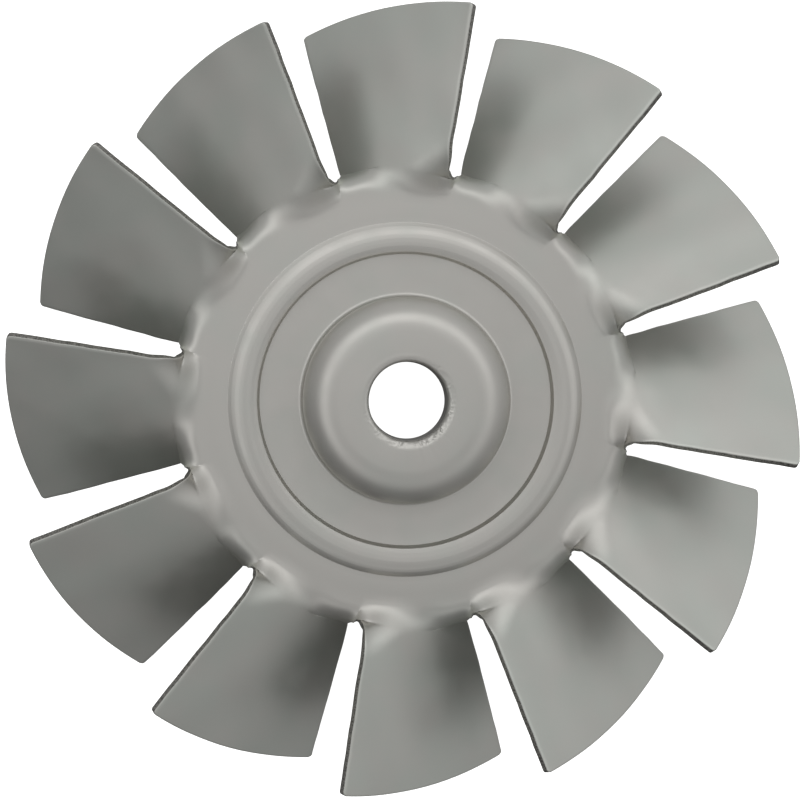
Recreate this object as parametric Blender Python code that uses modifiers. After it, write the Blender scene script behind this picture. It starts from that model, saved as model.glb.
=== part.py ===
"""Axial cooling fan of a vacuum motor, pressed from one sheet of metal.

A round blank is pressed into a hub boss with a drawn bore collar, a stiffening bead and a
flat web. Twelve radial cuts then free the blades, and each blade is twisted about its own
centre line, so that one edge stands above the web and the other hangs below it.
The wheel lies on the lowered blade corners. +Z is the shaft axis, towards the hub's nose.
"""

import math

import bmesh
import bpy

# Driving dimensions, in metres
BLADE_COUNT = 12
SHEET_THICKNESS = 0.0008
BLANK_RADIUS = 0.0414
BORE_RADIUS = 0.0040
COLLAR_DEPTH = 0.0055
LEAD_IN_RADIUS = 0.0014
HUB_HEIGHT = 0.0072
HUB_TOP_RADIUS = 0.0070
HUB_FOOT_RADIUS = 0.0109

# Bends of the hub: a wide shoulder, then a tighter brow above the wall, and a hollow foot
SHOULDER_RADIUS = 0.0040
SHOULDER_SLOPE = math.radians(52.0)
BROW_RADIUS = 0.0015
BROW_REACH = 0.0027
FOOT_RADIUS = 0.0006

# Stiffening bead: a steep inner step up to a round crown that falls to the outer foot
BEAD_INNER_RADIUS = 0.01546
BEAD_STEP_RADIUS = 0.01568
BEAD_CROWN_CENTRE = 0.01685
BEAD_CROWN_RADIUS = 0.00295
BEAD_OUTER_RADIUS = 0.0188

# Blade twist, which grows a little from the root to the tip
ROOT_TWIST = math.radians(30.5)
TIP_TWIST = math.radians(33.5)

# Root zone: where the twist starts and is full, in mid-blade and along the slits
TWIST_START_RADIUS = 0.0206
TWIST_FULL_RADIUS = 0.0252
SLIT_START_RADIUS = 0.0237
RAISED_EDGE_FULL_RADIUS = 0.0267
LOWERED_EDGE_FULL_RADIUS = 0.0256
SLIT_RELIEF_WIDTH = 0.0029
SLIT_WIDTH = 0.0002
SLIT_TAPER_LENGTH = 0.0010

# Mesh density
SEGMENTS_PER_BLADE = 6
LEAD_IN_STEPS = 4
SHOULDER_STEPS = 4
BEND_STEPS = 2
CROWN_STEPS = 5
SLIT_CROWDING = 0.45

HALF_PITCH = math.pi / BLADE_COUNT
PITCH = 2.0 * HALF_PITCH

# Radii of the rings between the bead and the tip, dense where the blades twist
WEB_RINGS = (0.0200, 0.0212, 0.0222, 0.0230)
BLADE_RINGS = (0.0244, 0.0250, 0.0256, 0.0262, 0.0270, 0.0318, 0.0366)


def arc(centre, radius, start, end, steps):
    """Points on an arc in the (radius, height) plane, angles from the outward direction."""
    points = []
    for step in range(steps + 1):
        angle = start + (end - start) * step / steps
        points.append((centre[0] + radius * math.cos(angle), centre[1] + radius * math.sin(angle)))
    return points


def rounded_path(corners):
    """Points along a path of (radius, height, bend radius, steps) corners, with round bends."""
    points = [corners[0][:2]]
    for before, corner, after in zip(corners, corners[1:], corners[2:]):
        radius, height, bend, steps = corner
        arriving = math.atan2(height - before[1], radius - before[0])
        leaving = math.atan2(after[1] - height, after[0] - radius)
        side = math.copysign(math.pi / 2, leaving - arriving)
        back = bend * math.tan(abs(leaving - arriving) / 2)
        centre = (radius - back * math.cos(arriving) + bend * math.cos(arriving + side),
                  height - back * math.sin(arriving) + bend * math.sin(arriving + side))
        points += arc(centre, bend, arriving - side, leaving - side, steps)
    points.append(corners[-1][:2])
    return points


def hub_profile():
    """Upper surface from the collar's lower end over the shoulder to the foot of the hub."""
    shoulder_corner = HUB_TOP_RADIUS + SHOULDER_RADIUS * math.tan(SHOULDER_SLOPE / 2)
    brow_corner = (shoulder_corner + BROW_REACH * math.cos(SHOULDER_SLOPE),
                   HUB_HEIGHT - BROW_REACH * math.sin(SHOULDER_SLOPE))
    return rounded_path([
        (BORE_RADIUS, HUB_HEIGHT - COLLAR_DEPTH),
        (BORE_RADIUS, HUB_HEIGHT, LEAD_IN_RADIUS, LEAD_IN_STEPS),
        (shoulder_corner, HUB_HEIGHT, SHOULDER_RADIUS, SHOULDER_STEPS),
        (*brow_corner, BROW_RADIUS, BEND_STEPS),
        (HUB_FOOT_RADIUS, 0.0, FOOT_RADIUS, BEND_STEPS),
        (BEAD_INNER_RADIUS, 0.0),
    ])


def bead_profile():
    """Upper surface of the stiffening bead, from the top of its inner step to its outer foot."""
    reach = BEAD_OUTER_RADIUS - BEAD_CROWN_CENTRE
    centre = (BEAD_CROWN_CENTRE, -math.sqrt(BEAD_CROWN_RADIUS ** 2 - reach ** 2))
    start = math.acos((BEAD_STEP_RADIUS - BEAD_CROWN_CENTRE) / BEAD_CROWN_RADIUS)
    end = math.acos(reach / BEAD_CROWN_RADIUS)
    return arc(centre, BEAD_CROWN_RADIUS, start, end, CROWN_STEPS)


def smooth_step(value):
    """Rise from 0 to 1 with level ends."""
    clamped = min(1.0, max(0.0, value))
    return clamped * clamped * (3.0 - 2.0 * clamped)


def crowd_towards_slit(angle):
    """Move an angle from a blade's centre line towards the slit, where the bends are tight."""
    share = angle / HALF_PITCH
    return HALF_PITCH * (share + SLIT_CROWDING * math.sin(math.pi * share) / math.pi)


def blend(first, second, share):
    """Value between two, by a share from 0 to 1."""
    return first + (second - first) * share


def local_twist(radius, angle):
    """Twist of the sheet at a radius and an angle from the blade's centre line."""
    from_slit = radius * (HALF_PITCH - abs(angle))
    held = 1.0 - smooth_step(from_slit / SLIT_RELIEF_WIDTH)
    edge_full = RAISED_EDGE_FULL_RADIUS if angle < 0 else LOWERED_EDGE_FULL_RADIUS
    start = blend(TWIST_START_RADIUS, SLIT_START_RADIUS, held)
    full = blend(TWIST_FULL_RADIUS, edge_full, held)
    share = smooth_step((radius - start) / (full - start))
    along_blade = (radius - TWIST_FULL_RADIUS) / (BLANK_RADIUS - TWIST_FULL_RADIUS)
    return share * blend(ROOT_TWIST, TIP_TWIST, max(0.0, along_blade))


def twisted(radius, angle, height, blade_angle):
    """Place a point of the flat blade after its twist about the blade's centre line."""
    beyond = (radius - SLIT_START_RADIUS) / SLIT_TAPER_LENGTH
    half_slit = SLIT_WIDTH / 2 * min(1.0, max(0.0, beyond))
    trimmed = angle * (1.0 - half_slit / (radius * HALF_PITCH))
    along = radius * math.cos(trimmed)
    across = radius * math.sin(trimmed)
    above = height + SHEET_THICKNESS / 2
    turn = -local_twist(radius, angle)
    side = across * math.cos(turn) - above * math.sin(turn)
    rise = across * math.sin(turn) + above * math.cos(turn)
    cosine, sine = math.cos(blade_angle), math.sin(blade_angle)
    return along * cosine - side * sine, along * sine + side * cosine, rise


def turned_sheet(profile):
    """Spin the profile into an open sheet of revolution, as a bmesh."""
    sheet = bmesh.new()
    verts = [sheet.verts.new((radius, 0.0, height)) for radius, height in profile]
    edges = [sheet.edges.new(pair) for pair in zip(verts, verts[1:])]
    bmesh.ops.spin(sheet, geom=verts + edges, cent=(0, 0, 0), axis=(0, 0, 1), dvec=(0, 0, 0),
                   angle=2 * math.pi, steps=BLADE_COUNT * SEGMENTS_PER_BLADE, use_merge=True)
    bmesh.ops.remove_doubles(sheet, verts=sheet.verts, dist=1e-6)
    return sheet


def cut_slits(sheet):
    """Split the radial edges between the blades, from the slit's start to the rim."""
    def on_slit(vert):
        turns = (math.atan2(vert.co.y, vert.co.x) / PITCH) % 1.0
        return abs(turns - 0.5) < 1e-4 and vert.co.xy.length > SLIT_START_RADIUS - 1e-5
    cuts = [edge for edge in sheet.edges if all(on_slit(vert) for vert in edge.verts)]
    bmesh.ops.split_edges(sheet, edges=cuts)


def twist_blades(sheet):
    """Crowd the segments towards the slits, then turn each blade about its centre line."""
    places = {}
    for vert in sheet.verts:
        middle = sum((face.calc_center_median() for face in vert.link_faces), vert.co * 0.0)
        blade = round(math.atan2(middle.y, middle.x) / PITCH)
        blade_angle = blade * PITCH
        angle = math.atan2(vert.co.y, vert.co.x) - blade_angle
        angle = (angle + math.pi) % (2 * math.pi) - math.pi
        places[vert] = (vert.co.xy.length, crowd_towards_slit(angle), vert.co.z, blade_angle)
    for vert, place in places.items():
        vert.co = twisted(*place)


def lift_onto_ground(sheet):
    """Raise the wheel so that the lowered blade corners lie at height 0."""
    corner_angle = HALF_PITCH - SLIT_WIDTH / 2 / BLANK_RADIUS
    corner_drop = BLANK_RADIUS * math.sin(corner_angle) * math.sin(TIP_TWIST)
    edge_drop = SHEET_THICKNESS / 2 * math.cos(TIP_TWIST)
    bmesh.ops.translate(sheet, verts=sheet.verts, vec=(0, 0, corner_drop + edge_drop))


def satin_metal():
    """Satin zinc-plated sheet steel."""
    material = bpy.data.materials.new("zinc_plated_steel")
    material.use_nodes = True
    shader = material.node_tree.nodes["Principled BSDF"]
    shader.inputs["Base Color"].default_value = (0.50, 0.49, 0.46, 1.0)
    shader.inputs["Metallic"].default_value = 1.0
    shader.inputs["Roughness"].default_value = 0.38
    return material


def fan_wheel(collection):
    """The whole wheel, a shell of one sheet thickness."""
    rings = WEB_RINGS + (SLIT_START_RADIUS,) + BLADE_RINGS + (BLANK_RADIUS,)
    profile = hub_profile() + bead_profile() + [(radius, 0.0) for radius in rings]
    sheet = turned_sheet(profile)
    cut_slits(sheet)
    twist_blades(sheet)
    lift_onto_ground(sheet)
    mesh = bpy.data.meshes.new("fan_wheel")
    sheet.to_mesh(mesh)
    sheet.free()
    mesh.shade_smooth()
    mesh.set_sharp_from_angle(angle=math.radians(35))
    wheel = bpy.data.objects.new("fan_wheel", mesh)
    wheel.data.materials.append(satin_metal())
    thickness = wheel.modifiers.new("sheet", "SOLIDIFY")
    thickness.thickness = SHEET_THICKNESS
    thickness.offset = -1.0
    thickness.use_even_offset = True
    collection.objects.link(wheel)
    return wheel


def main():
    for leftover in list(bpy.data.objects):
        bpy.data.objects.remove(leftover)
    collection = bpy.data.collections.new("vacuum_motor_fan")
    bpy.context.scene.collection.children.link(collection)
    fan_wheel(collection)


main()
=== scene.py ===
"""Cooling fan of a vacuum cleaner motor: one wheel pressed from zinc-plated sheet steel.

The add-on draws the visible wheel around the fixed frame: a blank of one sheet thickness with a
drawn hub, a bead and twelve twisted blades, its cut edges, its torn bore and its plated finish,
and the white table, the light tent and the camera that it is shown with.
"""
import math

import bmesh
import bpy
import numpy as np
from mathutils import Euler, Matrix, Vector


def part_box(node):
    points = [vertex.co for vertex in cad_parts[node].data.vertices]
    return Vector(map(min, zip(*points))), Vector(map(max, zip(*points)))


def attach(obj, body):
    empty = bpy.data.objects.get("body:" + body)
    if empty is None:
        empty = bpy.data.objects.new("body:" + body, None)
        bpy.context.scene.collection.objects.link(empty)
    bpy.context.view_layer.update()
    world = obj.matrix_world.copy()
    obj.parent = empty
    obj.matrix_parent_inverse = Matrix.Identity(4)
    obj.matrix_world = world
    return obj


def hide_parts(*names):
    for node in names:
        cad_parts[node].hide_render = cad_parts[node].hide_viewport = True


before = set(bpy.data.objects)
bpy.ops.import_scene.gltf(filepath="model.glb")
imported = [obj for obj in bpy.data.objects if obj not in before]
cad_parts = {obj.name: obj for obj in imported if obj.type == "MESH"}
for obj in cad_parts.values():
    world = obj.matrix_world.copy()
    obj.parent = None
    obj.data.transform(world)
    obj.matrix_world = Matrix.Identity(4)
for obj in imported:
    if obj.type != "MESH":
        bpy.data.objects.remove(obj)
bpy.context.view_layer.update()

bl_info = {
    "name": "Pressed Motor Fan",
    "version": (1, 0, 0),
    "blender": (4, 5, 0),
    "location": "View3D > Sidebar > Motor Fan",
    "description": "Builds the pressed sheet-metal fan of a vacuum cleaner motor",
    "category": "Add Mesh",
}

WHEEL_LOW, WHEEL_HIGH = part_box("fan_wheel")
MM = 0.001

# Bands of the light tent, from straight up down to the table. Each starts at a tilt off
# straight up and has its mean glow, the share by which one side is brighter, and that side's
# bearing, with the tilt and the bearing in degrees
TENT_TOP = 0.72
TENT_BANDS = (
    (12, 0.46, 0.20, 90),
    (36, 0.90, 0.42, 98),
    (58, 0.36, 0.45, 50),
    (78, 0.37, 0.60, 72),
    (100, 0.28, 0.55, 78),
    (150, 0.0, 0.0, 0),
)
BAND_BLUR = 6
BACKDROP = 0.92


# Properties

def length(name, millimetres, description):
    """A size that the sidebar shows as a length."""
    return bpy.props.FloatProperty(name=name, description=description, default=millimetres * MM,
                                   unit="LENGTH", precision=5)


def angle(name, degrees, description):
    """A size that the sidebar shows as an angle."""
    return bpy.props.FloatProperty(name=name, description=description,
                                   default=math.radians(degrees), subtype="ANGLE")


def linear_colour(code):
    """Linear red, green and blue of an sRGB hex colour."""
    channels = [int(code[place:place + 2], 16) / 255 for place in (0, 2, 4)]
    return [c / 12.92 if c <= 0.04045 else ((c + 0.055) / 1.055) ** 2.4 for c in channels]


def colour(name, code, description):
    """A colour that the sidebar shows as a swatch."""
    return bpy.props.FloatVectorProperty(name=name, description=description, subtype="COLOR",
                                         size=3, min=0.0, max=1.0, default=linear_colour(code))


class MotorFanSizes(bpy.types.PropertyGroup):
    """Sizes of the pressed wheel."""
    blade_count: bpy.props.IntProperty(
        name="Blades", description="Blades round the wheel", default=12, min=3)
    sheet: length("Sheet", 0.8, "Thickness of the sheet")
    blank_radius: length("Blank radius", (WHEEL_HIGH.x - WHEEL_LOW.x) / 2 / MM,
                         "Radius of the round blank, at the blade tips")
    bore_radius: length("Bore radius", 4.0, "Radius of the bore, measured inside the collar")
    collar_depth: length("Collar depth", 5.5, "Depth of the drawn collar below the hub's top")
    lead_in: length("Lead-in", 0.45, "Radius where the hub's top rolls into the bore")
    hub_height: length("Hub height", 7.2, "Height of the hub's top over the web")
    hub_top_radius: length("Hub top radius", 7.0, "Radius of the hub's flat top")
    shoulder: length("Shoulder", 4.0, "Radius of the wide bend from the hub's top to its brow")
    shoulder_slope: angle("Shoulder slope", 52.0, "Slope at which the shoulder turns into the brow")
    brow: length("Brow", 1.5, "Radius of the tighter bend above the hub's wall")
    brow_reach: length("Brow reach", 2.7, "Way down the shoulder's slope to the brow's corner")
    hub_foot_radius: length("Hub foot radius", 10.9, "Radius at which the hub's wall meets the web")
    hub_foot: length("Hub foot", 0.6, "Radius of the hollow at the foot of the hub's wall")
    bead_inner_radius: length("Bead inner radius", 15.46, "Foot of the bead's steep inner step")
    bead_step_radius: length("Bead step radius", 15.68, "Top of that step")
    bead_crown_centre: length("Crown centre", 16.85, "Radius below which the crown is centred")
    bead_crown: length("Bead crown", 2.95, "Bend radius of the bead's crown")
    bead_outer_radius: length("Bead outer radius", 18.8, "Where the bead ends")
    bead_foot: length("Bead foot", 0.1, "Radius of the hollow along both feet of the bead")
    web_fall: length("Web fall", 0.1, "How far the web falls from the bead to the blades")
    bead_drift: length("Bead drift", 0.3, "How far the press set the bead's crest off centre")
    bead_drift_bearing: angle("Drift bearing", -55.0, "Bearing of that drift round the wheel")
    root_twist: angle("Root twist", 30.5, "Twist of a blade where it leaves the web")
    tip_twist: angle("Tip twist", 33.5, "Twist of a blade at its tip")
    twist_start_radius: length("Twist start", 21.2, "Where the twist starts in mid-blade")
    twist_full_radius: length("Twist full", 24.9, "Where the twist is full in mid-blade")
    slit_start_radius: length("Slit start", 24.1, "Inner end of the cuts between the blades")
    rise_start_radius: length("Rise start", 21.7, "Where the sheet beside a cut starts to rise")
    rise_full_radius: length("Rise full", 27.7, "Where the raised edge is fully up")
    fold_start_radius: length("Fold start", 22.3, "Where the web bends down towards the lowered side")
    fold_full_radius: length("Fold full", 24.75, "Crease at which the lowered side is fully down")
    corner_pull: length("Corner pull", 0.5, "How much farther out the lowered corner itself is down")
    fold_length: length("Fold length", 2.4, "Length of the crease from a cut along the web's edge")
    relief: length("Relief", 4.2, "Distance from a cut over which its edges hold the sheet back")
    bridge: length("Bridge", 0.8, "Width of the ramp between both sides ahead of a cut")
    cut_width: length("Cut width", 0.2, "Width of the cuts between the blades")
    cut_end: length("Cut end", 0.35, "Radius of the round inner end of a cut")
    cut_flare: length("Cut flare", 0.22, "How much wider each side of a cut is beside its end")
    edge_roll: length("Edge roll", 0.11, "Rounding that the press leaves along a cut edge")
    tip_corner: length("Tip corner", 0.45, "Radius of the blades' corners, seen flat")
    edge_wobble: length("Edge wobble", 0.03, "How far the cut edges wander off straight")
    waviness: length("Waviness", 0.025, "Height of the slow waves in the sheet")
    lip_width: length("Lip width", 0.85, "Width of the ground the punch dragged down at the bore")
    lip_slope: angle("Lip slope", 24.0, "Slope of that ground where it is steepest")
    lip_bearing: angle("Lip bearing", -62.0, "Bearing at which the bore's lip is dragged most")
    lip_tear: length("Lip tear", 0.05, "Depth of the tears in the bore's lip")


class MotorFanColours(bpy.types.PropertyGroup):
    """Colours of the wheel and of the table."""
    zinc_warm: colour("Warm zinc", "CFCDC8", "Plating where its film is warm grey")
    zinc_cool: colour("Cool zinc", "CACDC7", "Plating where its film is greenish grey")
    cut_dark: colour("Dark cut", "6E6D6A", "Broken metal on the cut faces")
    cut_light: colour("Light cut", "B4B2AD", "Streaks that the punch rubbed bright")
    table: colour("Table", "F2F2F0", "Pale table under the wheel")


# Shape of the sheet

def smooth_step(value):
    """Rise from 0 to 1 with level ends."""
    clamped = np.clip(value, 0.0, 1.0)
    return clamped * clamped * (3.0 - 2.0 * clamped)


def blend(first, second, share):
    """Value between two, by a share from 0 to 1."""
    return first + (second - first) * share


def rounded_path(corners, spacing, turn_step=math.radians(15)):
    """Points along a path of (radius, height, bend radius) corners."""
    places = [np.array(corner[:2]) for corner in corners]
    points = []
    start = places[0]
    for here, following, corner in zip(places[1:-1], places[2:], corners[1:-1]):
        arriving = (here - start) / np.linalg.norm(here - start)
        leaving = (following - here) / np.linalg.norm(following - here)
        across = arriving[0] * leaving[1] - arriving[1] * leaving[0]
        turn = math.atan2(across, arriving @ leaving)
        back = corner[2] * math.tan(abs(turn) / 2)
        arc_start = here - arriving * back
        steps = max(1, round(np.linalg.norm(arc_start - start) / spacing))
        points += [blend(start, arc_start, step / steps) for step in range(steps)]
        side = math.copysign(1.0, turn)
        centre = arc_start + corner[2] * side * np.array((-arriving[1], arriving[0]))
        steps = math.ceil(abs(turn) / turn_step)
        points += [centre + rotated(arc_start - centre, turn * step / steps)
                   for step in range(steps)]
        start = here + leaving * back
    steps = max(1, round(np.linalg.norm(places[-1] - start) / spacing))
    points += [blend(start, places[-1], step / steps) for step in range(steps + 1)]
    return np.array(points)


def rotated(vector, turn):
    """A flat vector turned by an angle."""
    cosine, sine = math.cos(turn), math.sin(turn)
    return np.array((vector[0] * cosine - vector[1] * sine, vector[0] * sine + vector[1] * cosine))


def hub_and_bead(sizes, lip_rows=()):
    """Corners and bends of the upper surface from the collar's end to the foot of the bead.

    Rows on the lip of the bore are given as shares of its width.
    """
    top, slope = sizes.hub_height, sizes.shoulder_slope
    shoulder_corner = sizes.hub_top_radius + sizes.shoulder * math.tan(slope / 2)
    corners = [
        (sizes.bore_radius, top - sizes.collar_depth + sizes.edge_roll, 0.0),
        (sizes.bore_radius, top, sizes.lead_in),
        *[(sizes.bore_radius + sizes.lip_width * share, top, 0.0) for share in lip_rows],
        (shoulder_corner, top, sizes.shoulder),
        (shoulder_corner + sizes.brow_reach * math.cos(slope),
         top - sizes.brow_reach * math.sin(slope), sizes.brow),
        (sizes.hub_foot_radius, 0.0, sizes.hub_foot),
        (sizes.bead_inner_radius, 0.0, sizes.bead_foot),
    ]
    reach = sizes.bead_outer_radius - sizes.bead_crown_centre
    centre = (sizes.bead_crown_centre,
              sizes.web_fall - math.sqrt(sizes.bead_crown ** 2 - reach ** 2))
    first = math.acos((sizes.bead_step_radius - sizes.bead_crown_centre) / sizes.bead_crown)
    last = math.acos(reach / sizes.bead_crown)
    for step in range(9):
        around = blend(first, last, step / 8)
        corners.append((centre[0] + sizes.bead_crown * math.cos(around),
                        centre[1] + sizes.bead_crown * math.sin(around), sizes.bead_foot))
    corners.append((web_start(sizes), sizes.web_fall, 0.0))
    return corners


def web_start(sizes):
    """Radius just outside the bead, where the web begins to fall."""
    return sizes.bead_outer_radius + 0.6 * MM


def web_height(sizes, radius):
    """Height of the web, which falls gently from the bead to where the blades start."""
    share = (radius - web_start(sizes)) / (sizes.fold_start_radius - web_start(sizes))
    return sizes.web_fall * (1 - smooth_step(share))


def lower_path(corners, sheet):
    """The same path on the sheet's lower side, with each bend's radius changed to suit."""
    flat = [np.array(corner[:2]) for corner in corners]
    ways = [(b - a) / np.linalg.norm(b - a) for a, b in zip(flat, flat[1:])]
    lowered = []
    for place, point in enumerate(flat):
        arriving = ways[max(place - 1, 0)]
        leaving = ways[min(place, len(ways) - 1)]
        normal = np.array((-(arriving + leaving)[1], (arriving + leaving)[0]))
        normal /= np.linalg.norm(normal)
        mitre = normal / (normal @ np.array((-leaving[1], leaving[0])))
        across = arriving[0] * leaving[1] - arriving[1] * leaving[0]
        bend = corners[place][2] + math.copysign(sheet, across)
        lowered.append((*(point - mitre * sheet), max(bend, 0.05 * MM)))
    lowered[0] = (*lowered[0][:2], 0.0)
    return lowered


def local_twist(sizes, radius, turn):
    """Twist of the sheet at a radius and a turn from the blade's centre line.

    A blade's clockwise side, where the turn is negative, is its raised side.
    """
    half_pitch = math.pi / sizes.blade_count
    from_cut = radius * (half_pitch - np.abs(turn))
    raised = turn < 0
    held = 1.0 - smooth_step((from_cut - np.where(raised, 0.0, sizes.fold_length)) / sizes.relief)
    pulled = sizes.fold_full_radius + sizes.corner_pull * np.exp(-from_cut / (0.7 * MM))
    edge_start = np.where(raised, sizes.rise_start_radius, sizes.fold_start_radius)
    edge_full = np.where(raised, sizes.rise_full_radius, pulled)
    start = blend(sizes.twist_start_radius, edge_start, held)
    full = blend(sizes.twist_full_radius, edge_full, held)
    way = np.clip((radius - start) / (full - start), 0.0, 1.0)
    eased = 1.0 - (1.0 - way) ** 3 * (1.0 + 3.0 * way)
    share = blend(smooth_step(way), np.where(raised, eased, way ** 2.2), held)
    beyond = np.maximum(radius - sizes.slit_start_radius, 0.0)
    share = share * np.tanh((from_cut + 3.0 * beyond) / sizes.bridge)
    along = (radius - sizes.twist_full_radius) / (sizes.blank_radius - sizes.twist_full_radius)
    return share * blend(sizes.root_twist, sizes.tip_twist, np.clip(along, 0.0, 1.1))


def ripple(place, seed, slowest, fastest):
    """Ragged value of about -1 to 1 along a place in radians, from waves of seeded phases."""
    phases = np.random.default_rng(seed).uniform(0.0, 2 * math.pi, fastest - slowest)
    waves = [np.cos(count * place + phase) for count, phase in enumerate(phases, slowest)]
    return sum(waves) / math.sqrt(len(waves))


def slow_waves(sizes, radius, bearing):
    """Height of the sheet's slow waves, each a few millimetres long, clear of the bead."""
    x, y = radius * np.cos(bearing) / MM, radius * np.sin(bearing) / MM
    height = 0.0
    for along, across, phase in ((0.62, 0.31, 0.4), (-0.35, 0.74, 2.1), (0.18, -0.93, 3.7),
                                 (1.05, 0.22, 5.2), (-0.71, -0.66, 1.3)):
        height = height + np.sin(along * x + across * y + phase)
    return sizes.waviness * 0.4 * height * smooth_step((radius - 20.0 * MM) / (4.0 * MM))


def middle_of_sheet(sizes, radius, turn, blade):
    """Middle of the sheet's thickness in a blade's own frame, the web's top at height 0."""
    twist = local_twist(sizes, radius, turn)
    across = radius * np.sin(turn)
    bearing = turn + 2 * math.pi / sizes.blade_count * blade
    pressed = web_height(sizes, radius) + slow_waves(sizes, radius, bearing)
    height = pressed - sizes.sheet / 2 - across * np.sin(twist)
    return np.stack((radius * np.cos(turn), across * np.cos(twist), height), axis=-1)


def sheet_normal(sizes, radius, turn, blade):
    """Upward normal of the sheet, from its slopes along the radius and round the axis."""
    step = 0.004 * MM
    side = np.where(turn < 0, -1.0, 1.0)
    inner = side * (np.abs(turn) - step / radius)
    outward = (middle_of_sheet(sizes, radius + step, turn, blade)
               - middle_of_sheet(sizes, radius - step, turn, blade))
    round_axis = (middle_of_sheet(sizes, radius, turn, blade)
                  - middle_of_sheet(sizes, radius, inner, blade))
    normal = np.cross(outward, round_axis * side[..., None])
    return normal / np.linalg.norm(normal, axis=-1, keepdims=True)


def dragged_lip(sizes, points):
    """Lip of the bore, dragged down and torn on one side by the punch."""
    radius = np.hypot(points[..., 0], points[..., 1])
    bearing = np.arctan2(points[..., 1], points[..., 0])
    side = np.cos((bearing - sizes.lip_bearing) / 2) ** 2
    across = (radius - sizes.bore_radius) / sizes.lip_width
    inside = np.clip(1.0 - across, 0.0, 1.0)
    below_top = np.exp(-(sizes.hub_height - points[..., 2]) / (0.9 * MM))
    drop = math.tan(sizes.lip_slope) * sizes.lip_width * inside * side ** 1.5
    ragged = ripple(bearing + 0.4 * across, 11, 9, 60) + ripple(bearing - 1.5 * across, 5, 40, 90)
    torn = np.exp(-((across - 0.55) / 0.3) ** 2) * side * sizes.lip_tear * ragged
    burr = smooth_step(1 - np.abs(across - 0.75) / 0.25) * (0.55 - side) * 0.04 * MM
    dragged = points.copy()
    dragged[..., 2] += (np.maximum(burr, 0.0) - drop - torn) * below_top
    return dragged


# Mesh of the wheel

def edge_profile(sizes):
    """Offsets and heights over a cut edge, from the upper skin round to the lower skin."""
    half, roll = sizes.sheet / 2, sizes.edge_roll
    profile = []
    for step in range(4):
        bend = math.pi / 2 * step / 3
        profile.append((roll * math.sin(bend), half - roll + roll * math.cos(bend)))
    profile.append((roll, 0.0))
    profile.append((roll * 0.85, -half + roll * 0.7))
    profile.append((roll * 0.7, -half + roll * 0.1))
    profile.append((0.0, -half))
    return profile


def crowded(count):
    """Shares from -1 to 1, crowded towards the cuts at both ends."""
    share = np.linspace(-1.0, 1.0, count + 1)
    return share + 0.62 * np.sin(math.pi * share) / math.pi


def blade_rows(sizes):
    """Radii of the rows from the bead to the tip, close together where the sheet folds."""
    start, tip = web_start(sizes), sizes.blank_radius - sizes.edge_roll
    cut = sizes.slit_start_radius
    stretches = ((start, 22.0 * MM, 0.6), (22.0 * MM, cut, 0.22), (cut, cut + 0.3 * MM, 0.075),
                 (cut + 0.3 * MM, 26.0 * MM, 0.13), (26.0 * MM, 28.0 * MM, 0.3),
                 (28.0 * MM, tip - 0.6 * MM, 1.2), (tip - 0.6 * MM, tip, 0.12))
    radii = [np.linspace(low, high, max(1, round((high - low) / (spacing * MM))), endpoint=False)
             for low, high, spacing in stretches]
    return np.concatenate(radii + [[tip]])


def cut_opening(sizes, radius):
    """Half the width of a cut at a radius, and the share of it past the round inner end."""
    beyond = np.maximum(radius - sizes.slit_start_radius, 0.0)
    share = np.sqrt(1 - (1 - np.clip(beyond / sizes.cut_end, 0.0, 1.0)) ** 2)
    flare = sizes.cut_flare * np.exp(-(beyond / (1.1 * MM)) ** 2)
    return share * (sizes.cut_width / 2 + flare), share


def blank_outline(sizes, radius, share, blade):
    """Place in the flat blank inside its cut edges, and the way out to the nearest edge."""
    half_pitch = math.pi / sizes.blade_count
    tip = sizes.blank_radius - sizes.edge_roll
    rounding = sizes.tip_corner - sizes.edge_roll

    def half_angle(at):
        opening, opened = cut_opening(sizes, at)
        place = at / (5.0 * MM)
        wander = np.where(share < 0, ripple(place, 2 * blade + 30, 1, 12),
                          ripple(place, 2 * blade + 31, 1, 12))
        return half_pitch - (opening + opened * (sizes.edge_roll + wander * sizes.edge_wobble)) / at

    from_edge = half_angle(radius) * (1 - np.abs(share)) * radius
    from_tip = tip - radius
    to_edge = np.clip(1 - from_edge / rounding, 0.0, 1.0)
    to_tip = np.clip(1 - from_tip / rounding, 0.0, 1.0)
    round_edge = to_edge * np.sqrt(1 - to_tip ** 2 / 2)
    round_tip = to_tip * np.sqrt(1 - to_edge ** 2 / 2)
    in_corner = (to_edge > 0) & (to_tip > 0)
    new_radius = np.where(in_corner, tip - rounding * (1 - round_tip), radius)
    new_edge = np.where(in_corner, rounding * (1 - round_edge), from_edge)
    turn = half_angle(new_radius) - new_edge / new_radius
    return new_radius, np.copysign(turn, share), round_edge, round_tip


def turned_path(sizes, path, around):
    """Points of a (radius, height) path at every direction of a list.

    The bead's crest is set off centre: its rows move towards the drift's bearing.
    """
    middle = (sizes.bead_inner_radius + sizes.bead_outer_radius) / 2
    half = (sizes.bead_outer_radius - sizes.bead_inner_radius) / 2
    inside = np.clip(1 - ((path[:, 0] - middle) / half) ** 2, 0.0, 1.0)
    bearing = np.array((math.cos(sizes.bead_drift_bearing), math.sin(sizes.bead_drift_bearing)))
    drift = sizes.bead_drift * inside[:, None] * (around @ bearing)[None]
    flat = (path[:, :1] + drift)[..., None] * around[None]
    return np.concatenate((flat, np.repeat(path[:, None, 1:], len(around), axis=1)), axis=-1)


def turned_to_blade(points, blade_angle):
    """Points of a blade's own frame in the wheel's frame."""
    cosine, sine = math.cos(blade_angle), math.sin(blade_angle)
    x, y, z = points[..., 0], points[..., 1], points[..., 2]
    return np.stack((x * cosine - y * sine, x * sine + y * cosine, z), axis=-1)


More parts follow.
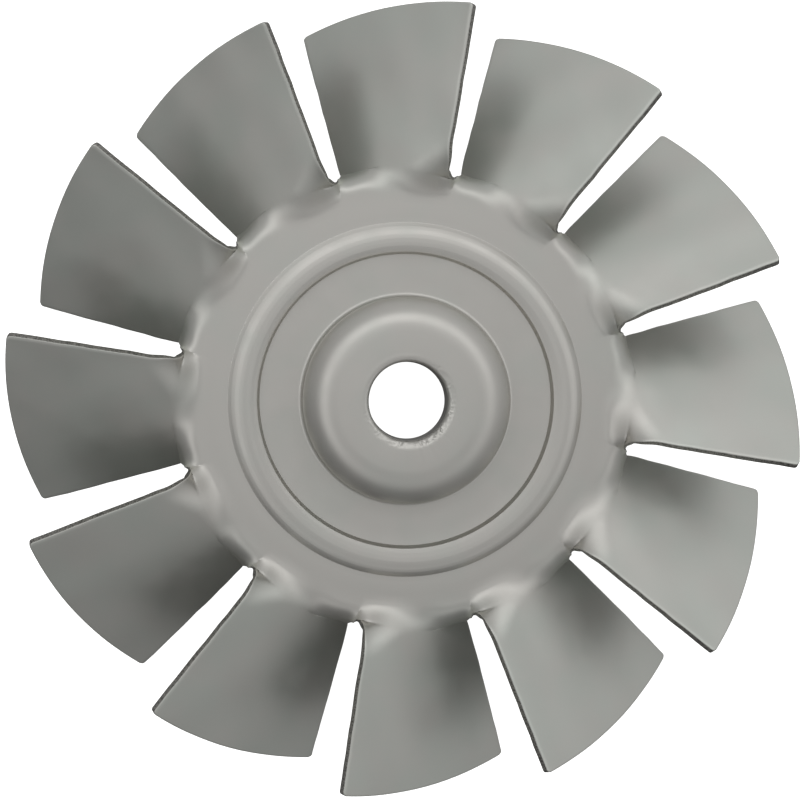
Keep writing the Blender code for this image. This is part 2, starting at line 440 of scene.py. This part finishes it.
class SheetMesh:
    """Vertices and faces of the pressed sheet, gathered grid by grid."""

    def __init__(self):
        self.points = []
        self.faces = []
        self.cut_faces = []

    def add_grid(self, grid, facing_up=True, cut=False):
        """Join a grid of points into faces and give back the grid of vertex numbers."""
        first = sum(len(block) for block in self.points)
        rows, columns = grid.shape[:2]
        self.points.append(grid.reshape(-1, 3))
        numbers = first + np.arange(rows * columns).reshape(rows, columns)
        corners = [numbers[:-1, :-1], numbers[1:, :-1], numbers[1:, 1:], numbers[:-1, 1:]]
        quads = np.stack(corners, axis=-1).reshape(-1, 4)
        if not facing_up:
            quads = quads[:, ::-1]
        (self.cut_faces if cut else self.faces).append(quads)
        return numbers


def hub_grids(sizes, blade, shares, profile):
    """Upper skin, lower skin and collar end of the hub and the bead over one blade's pitch."""
    upper_path = rounded_path(hub_and_bead(sizes, lip_rows=(0.7, 0.85, 1.0, 1.2)), spacing=1.5 * MM)
    under_path = rounded_path(lower_path(hub_and_bead(sizes), sizes.sheet), spacing=1.5 * MM)
    turns = (2 * blade + shares) * math.pi / sizes.blade_count
    around = np.stack((np.cos(turns), np.sin(turns)), axis=-1)
    upper = dragged_lip(sizes, turned_path(sizes, upper_path, around))
    under = turned_path(sizes, under_path, around)
    end = [blend(upper[0], under[0], 0.5 - height / sizes.sheet) - np.array((0, 0, offset))
           for offset, height in profile]
    return upper, under, np.stack(end)


def share_normals(normals, rows):
    """Give neighbouring blades one normal along the edge they share ahead of a cut."""
    for here, following in zip(normals, normals[1:] + normals[:1]):
        shared = here[:rows, -1] + following[:rows, 0]
        shared /= np.linalg.norm(shared, axis=-1, keepdims=True)
        here[:rows, -1] = shared
        following[:rows, 0] = shared


def sheet_mesh(sizes):
    """The whole wheel: upper and lower skin, the cut edges and the end of the collar."""
    half = sizes.sheet / 2
    profile = edge_profile(sizes)
    offsets = np.array([place[0] for place in profile])
    heights = np.array([place[1] for place in profile])
    shares = crowded(24)
    radii = blade_rows(sizes)
    cut_row = int(np.argmin(np.abs(radii - sizes.slit_start_radius)))
    flat_radius, share = np.meshgrid(radii, shares, indexing="ij")
    last = len(shares) - 1
    rim = [(row, 0) for row in range(cut_row, len(radii))]
    rim += [(len(radii) - 1, column) for column in range(1, last)]
    rim += [(row, last) for row in range(len(radii) - 1, cut_row - 1, -1)]
    rows, columns = np.array(rim).T

    blades = range(sizes.blade_count)
    angles = [2 * math.pi / sizes.blade_count * blade for blade in blades]
    outlines = [blank_outline(sizes, flat_radius, share, blade) for blade in blades]
    normals = [turned_to_blade(sheet_normal(sizes, *outlines[blade][:2], blade), angles[blade])
               for blade in blades]
    share_normals(normals, cut_row + 1)

    made = SheetMesh()
    for blade, blade_angle, normal in zip(blades, angles, normals):
        upper, under, end = hub_grids(sizes, blade, shares, profile)
        made.add_grid(upper)
        made.add_grid(under, facing_up=False)
        made.add_grid(end, facing_up=False, cut=True)

        radius, turn, to_edge, to_tip = outlines[blade]
        middle = turned_to_blade(middle_of_sheet(sizes, radius, turn, blade), blade_angle)
        made.add_grid(middle + normal * half)
        made.add_grid(middle - normal * half, facing_up=False)

        taper = cut_opening(sizes, radius[rows, columns])[1]
        rim_radius = radius[rows, columns] + to_tip[rows, columns] * offsets[:, None]
        outward = to_edge[rows, columns] * taper * offsets[:, None] / rim_radius
        rim_turn = turn[rows, columns] + np.copysign(outward, share[rows, columns])
        rim_normal = turned_to_blade(sheet_normal(sizes, rim_radius, rim_turn, blade), blade_angle)
        rim_normal[:, [0, -1]] = normal[cut_row, [0, -1]]
        rim_grid = turned_to_blade(middle_of_sheet(sizes, rim_radius, rim_turn, blade), blade_angle)
        rim_grid += rim_normal * heights[:, None, None]
        made.add_grid(rim_grid[:3])
        made.add_grid(rim_grid[2:], cut=True)
    return made


def wheel_object(sizes):
    """Merge the grids into one closed mesh and stand it at the frame's height."""
    made = sheet_mesh(sizes)
    points = np.concatenate(made.points)
    points[:, 2] += WHEEL_HIGH.z - sizes.hub_height
    mesh = bpy.data.meshes.new("fan_wheel_pressing")
    plated, cut = np.concatenate(made.faces), np.concatenate(made.cut_faces)
    mesh.from_pydata(points.tolist(), [], np.concatenate((plated, cut)).tolist())
    slots = np.zeros(len(plated) + len(cut), dtype=np.int32)
    slots[len(plated):] = 1
    mesh.polygons.foreach_set("material_index", slots)
    welded = bmesh.new()
    welded.from_mesh(mesh)
    bmesh.ops.remove_doubles(welded, verts=welded.verts, dist=0.001 * MM)
    welded.to_mesh(mesh)
    welded.free()
    mesh.shade_smooth()
    mesh.set_sharp_from_angle(angle=math.radians(40))
    wheel = bpy.data.objects.new("fan_wheel_pressing", mesh)
    bpy.context.scene.collection.objects.link(wheel)
    return wheel


# Materials

def add_node(tree, kind, inputs=None, **settings):
    """Add a node with its settings; an input is a value or the socket that feeds it."""
    node = tree.nodes.new(kind)
    for name, value in settings.items():
        setattr(node, name, value)
    for name, value in (inputs or {}).items():
        if isinstance(value, bpy.types.NodeSocket):
            tree.links.new(value, node.inputs[name])
        else:
            node.inputs[name].default_value = value
    return node


def math_node(tree, operation, *inputs):
    """Output of a math node for values or sockets, in order."""
    return add_node(tree, "ShaderNodeMath", dict(enumerate(inputs)), operation=operation).outputs[0]


def spread_node(tree, value, low, high):
    """A noise value, mostly 0.35 to 0.65, spread over the range from low to high."""
    return add_node(tree, "ShaderNodeMapRange", {
        "Value": value, "From Min": 0.35, "From Max": 0.65, "To Min": low, "To Max": high}).outputs[0]


def noise_node(tree, place, per_mm, detail=2.0):
    """Noise on the object's own coordinates, with so many features to the millimetre."""
    return add_node(tree, "ShaderNodeTexNoise", {
        "Vector": place, "Scale": per_mm / MM, "Detail": detail}).outputs["Fac"]


def metal_shader(name, roughness):
    """A new metal, its node tree, its shader and the object coordinates to draw it on."""
    material = bpy.data.materials.new(name)
    material.use_nodes = True
    tree = material.node_tree
    shader = tree.nodes["Principled BSDF"]
    shader.inputs["Metallic"].default_value = 1.0
    shader.inputs["Roughness"].default_value = roughness
    return material, tree, shader, add_node(tree, "ShaderNodeTexCoord").outputs["Object"]


def zinc_plated_sheet(colours):
    """Zinc-plated cold-rolled sheet: a satin metal that blurs what it reflects."""
    material, tree, shader, place = metal_shader("zinc_plated_rolled_steel", 0.4)
    # The passivation film tints the zinc in clouds of warm and of greenish grey, 6 mm wide.
    # It is greener from 22 mm outwards, over the blades
    flat = add_node(tree, "ShaderNodeMapping", {"Vector": place, "Scale": (1.0, 1.0, 0.0)})
    from_axis = add_node(tree, "ShaderNodeVectorMath", {0: flat.outputs["Vector"]}, operation="LENGTH")
    outer = add_node(tree, "ShaderNodeMapRange", {
        "Value": from_axis.outputs["Value"], "From Min": 22.0 * MM, "From Max": 27.0 * MM,
        "To Min": -0.3, "To Max": 0.4}).outputs[0]
    cloud = spread_node(tree, noise_node(tree, place, 0.16, 3.0), 0.0, 0.7)
    tint = add_node(tree, "ShaderNodeMix", {
        "Factor": math_node(tree, "ADD", cloud, outer),
        "A": (*colours.zinc_warm, 1.0), "B": (*colours.zinc_cool, 1.0)},
        data_type="RGBA").outputs["Result"]
    tree.links.new(tint, shader.inputs["Base Color"])
    # Handling wears the satin unevenly, so broad patches look a little sharper or duller
    tree.links.new(spread_node(tree, noise_node(tree, place, 0.3, 4.0), 0.37, 0.43),
                   shader.inputs["Roughness"])
    # Fine crystals of the plating, 0.15 mm wide, seen only as a soft grain
    grain = add_node(tree, "ShaderNodeBump", {
        "Height": noise_node(tree, place, 6.0, 3.0), "Strength": 0.12, "Distance": 0.02 * MM})
    tree.links.new(grain.outputs["Normal"], shader.inputs["Normal"])
    return material


def sheared_edge(colours):
    """Cut face left by the shear: dark broken metal with streaks across the sheet."""
    material, tree, shader, place = metal_shader("sheared_steel_edge", 0.5)
    # The punch drags streaks down the cut face, 0.1 mm apart, so light and dark alternate
    streaks = noise_node(tree, add_node(tree, "ShaderNodeMapping", {
        "Vector": place, "Scale": (1.0, 1.0, 0.15)}).outputs["Vector"], 7.0, 2.0)
    tint = add_node(tree, "ShaderNodeMix", {
        "Factor": spread_node(tree, streaks, 0.0, 1.0),
        "A": (*colours.cut_dark, 1.0), "B": (*colours.cut_light, 1.0)},
        data_type="RGBA").outputs["Result"]
    tree.links.new(tint, shader.inputs["Base Color"])
    ridges = add_node(tree, "ShaderNodeBump", {
        "Height": streaks, "Strength": 0.5, "Distance": 0.03 * MM})
    tree.links.new(ridges.outputs["Normal"], shader.inputs["Normal"])
    return material


def light_tent():
    """Soft light from all round, brightest in a band halfway up and towards the photo's top."""
    world = bpy.data.worlds.new("light_tent")
    world.use_nodes = True
    tree = world.node_tree
    direction = add_node(tree, "ShaderNodeTexCoord").outputs["Generated"]
    parts = add_node(tree, "ShaderNodeSeparateXYZ", {"Vector": direction}).outputs
    tilt = math_node(tree, "ARCCOSINE", parts["Z"])
    bearing = math_node(tree, "ARCTAN2", parts["Y"], parts["X"])
    glow = TENT_TOP
    for start, mean, lean, towards in TENT_BANDS:
        off_side = math_node(tree, "SUBTRACT", bearing, math.radians(towards))
        side = math_node(tree, "COSINE", off_side)
        band = math_node(tree, "MULTIPLY_ADD", side, mean * lean, mean)
        share = add_node(tree, "ShaderNodeMapRange", {
            "Value": tilt, "From Min": math.radians(start - BAND_BLUR),
            "From Max": math.radians(start + BAND_BLUR)}, interpolation_type="SMOOTHSTEP").outputs[0]
        glow = math_node(tree, "MULTIPLY_ADD", share, math_node(tree, "SUBTRACT", band, glow), glow)
    # The camera itself sees a plain pale backdrop behind the table
    seen = add_node(tree, "ShaderNodeLightPath").outputs["Is Camera Ray"]
    paler = math_node(tree, "SUBTRACT", BACKDROP, glow)
    background = tree.nodes["Background"]
    background.inputs["Color"].default_value = (1.0, 1.0, 1.0, 1.0)
    tree.links.new(math_node(tree, "MULTIPLY_ADD", seen, paler, glow), background.inputs["Strength"])
    return world


# Operators

class MOTORFAN_OT_wheel(bpy.types.Operator):
    """Build the pressed wheel and put it in the place of its solid"""
    bl_idname = "motorfan.wheel"
    bl_label = "Pressed Wheel"

    def execute(self, context):
        wheel = wheel_object(context.scene.motor_fan_sizes)
        colours = context.scene.motor_fan_colours
        wheel.data.materials.append(zinc_plated_sheet(colours))
        wheel.data.materials.append(sheared_edge(colours))
        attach(wheel, "root")
        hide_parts("fan_wheel")
        return {"FINISHED"}


class MOTORFAN_OT_studio(bpy.types.Operator):
    """Set up the white table, the light tent and the camera"""
    bl_idname = "motorfan.studio"
    bl_label = "Studio"

    def execute(self, context):
        scene = context.scene
        scene.view_settings.view_transform = "Standard"
        mesh = bpy.data.meshes.new("white_table")
        table = bmesh.new()
        bmesh.ops.create_circle(table, cap_ends=True, segments=96, radius=0.9)
        table.to_mesh(mesh)
        table.free()
        floor = bpy.data.objects.new("white_table", mesh)
        floor.location.z = -0.0003
        scene.collection.objects.link(floor)
        material = bpy.data.materials.new("white_acrylic_table")
        material.use_nodes = True
        shader = material.node_tree.nodes["Principled BSDF"]
        shader.inputs["Base Color"].default_value = (*scene.motor_fan_colours.table, 1.0)
        shader.inputs["Emission Color"].default_value = (1.0, 1.0, 1.0, 1.0)
        shader.inputs["Emission Strength"].default_value = 1.0
        mesh.materials.append(material)
        floor.visible_glossy = False
        floor.visible_diffuse = False
        floor.visible_shadow = False
        scene.world = light_tent()
        camera_data = bpy.data.cameras.new("photo_camera")
        camera_data.lens = 59.607
        camera = bpy.data.objects.new("photo_camera", camera_data)
        camera.location = (-5.807 * MM, 3.138 * MM, 146.93 * MM)
        turns = [math.radians(degrees) for degrees in (-1.165, -2.192, -2.871)]
        camera.rotation_euler = Euler(turns, "XYZ")
        scene.collection.objects.link(camera)
        scene.camera = camera
        return {"FINISHED"}


class MOTORFAN_PT_panel(bpy.types.Panel):
    """Lists the wheel and the studio"""
    bl_idname = "MOTORFAN_PT_panel"
    bl_label = "Motor Fan"
    bl_space_type = "VIEW_3D"
    bl_region_type = "UI"
    bl_category = "Motor Fan"

    def draw(self, context):
        self.layout.operator("motorfan.wheel")
        self.layout.operator("motorfan.studio")


CLASSES = (MotorFanSizes, MotorFanColours, MOTORFAN_OT_wheel, MOTORFAN_OT_studio, MOTORFAN_PT_panel)


def register():
    for item in CLASSES:
        bpy.utils.register_class(item)
    bpy.types.Scene.motor_fan_sizes = bpy.props.PointerProperty(type=MotorFanSizes)
    bpy.types.Scene.motor_fan_colours = bpy.props.PointerProperty(type=MotorFanColours)


def unregister():
    del bpy.types.Scene.motor_fan_colours
    del bpy.types.Scene.motor_fan_sizes
    for item in reversed(CLASSES):
        bpy.utils.unregister_class(item)


def main():
    register()
    bpy.ops.motorfan.wheel()
    bpy.ops.motorfan.studio()


if __name__ == "__main__":
    main()
